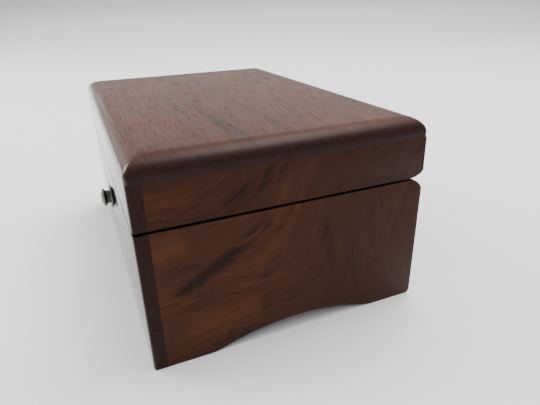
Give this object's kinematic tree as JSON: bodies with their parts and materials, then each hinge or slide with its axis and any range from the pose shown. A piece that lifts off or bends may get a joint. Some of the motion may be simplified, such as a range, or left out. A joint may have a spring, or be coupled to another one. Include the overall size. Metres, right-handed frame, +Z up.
{
  "type": "watch box",
  "caption": "Wooden presentation box for one watch, with a rounded hinged lid, a push-button catch, arched side boards and a lined interior with a cushion.",
  "frame": {"origin": "on the surface the box stands on, under the middle of the overall outline with the button included", "axes": "+X to the right seen from the front, +Y from the front to the hinges, +Z up"},
  "size_m": [0.148, 0.1048, 0.07],
  "materials": {
    "walnut": "reddish brown figured hardwood, satin lacquer",
    "inner_wood": "plain light wood, unfinished",
    "dark_bronze": "dark antique bronze, polished",
    "brass": "satin brass",
    "spring_steel": "bright spring steel",
    "lining_suede": "beige suede cloth",
    "cushion_suede": "pale beige suede cloth",
    "baize": "dark brown felt"
  },
  "bodies": {
    "base": {"base_front_board": "walnut", "base_rear_board": "walnut", "base_left_board": "walnut", "base_right_board": "walnut", "base_bottom_panel": "walnut", "base_baize": "baize", "base_lining_left": "lining_suede", "base_lining_right": "lining_suede", "base_lining_front_left": "lining_suede", "base_lining_front_right": "lining_suede", "base_lining_rear": "lining_suede", "insert_deck": "lining_suede", "well_sleeve": "lining_suede", "deck_rest_left": "inner_wood", "deck_rest_right": "inner_wood", "well_floor_pad": "lining_suede", "watch_cushion": "cushion_suede", "hinge_left_base_leaf": "brass", "hinge_left_pin": "brass", "hinge_left_base_screw_1": "brass", "hinge_left_base_screw_2": "brass", "hinge_right_base_leaf": "brass", "hinge_right_pin": "brass", "hinge_right_base_screw_1": "brass", "hinge_right_base_screw_2": "brass", "button_collar": "dark_bronze", "collar_nut": "brass", "catch_case": "brass", "case_screw_1": "brass", "case_screw_2": "brass", "catch_spring": "spring_steel"},
    "lid": {"lid_top_board": "walnut", "lid_front_rail": "walnut", "lid_rear_rail": "walnut", "lid_left_rail": "walnut", "lid_right_rail": "walnut", "lid_pad": "cushion_suede", "lid_lining_left": "lining_suede", "lid_lining_right": "lining_suede", "lid_lining_front_left": "lining_suede", "lid_lining_front_right": "lining_suede", "lid_lining_rear": "lining_suede", "hinge_left_lid_leaf": "brass", "hinge_left_lid_screw_1": "brass", "hinge_left_lid_screw_2": "brass", "hinge_right_lid_leaf": "brass", "hinge_right_lid_screw_1": "brass", "hinge_right_lid_screw_2": "brass", "lid_keeper": "brass", "keeper_screw_1": "brass", "keeper_screw_2": "brass"},
    "push_button": {"button_head": "dark_bronze", "button_stem": "brass", "catch_bolt": "spring_steel"}
  },
  "joints": [
    {"name": "lid_hinge", "type": "hinge", "parent": "base", "child": "lid", "pos_m": [0, 0.04992, 0.0487], "axis": [-1, 0, 0], "range_deg": [0, 100]},
    {"name": "button_press", "type": "slide", "parent": "base", "child": "push_button", "axis": [0, 1, 0], "range_m": [0, 0.0012], "stiffness_N_per_m": 800, "springref_m": -0.001, "deforming": ["catch_spring"]}
  ]
}
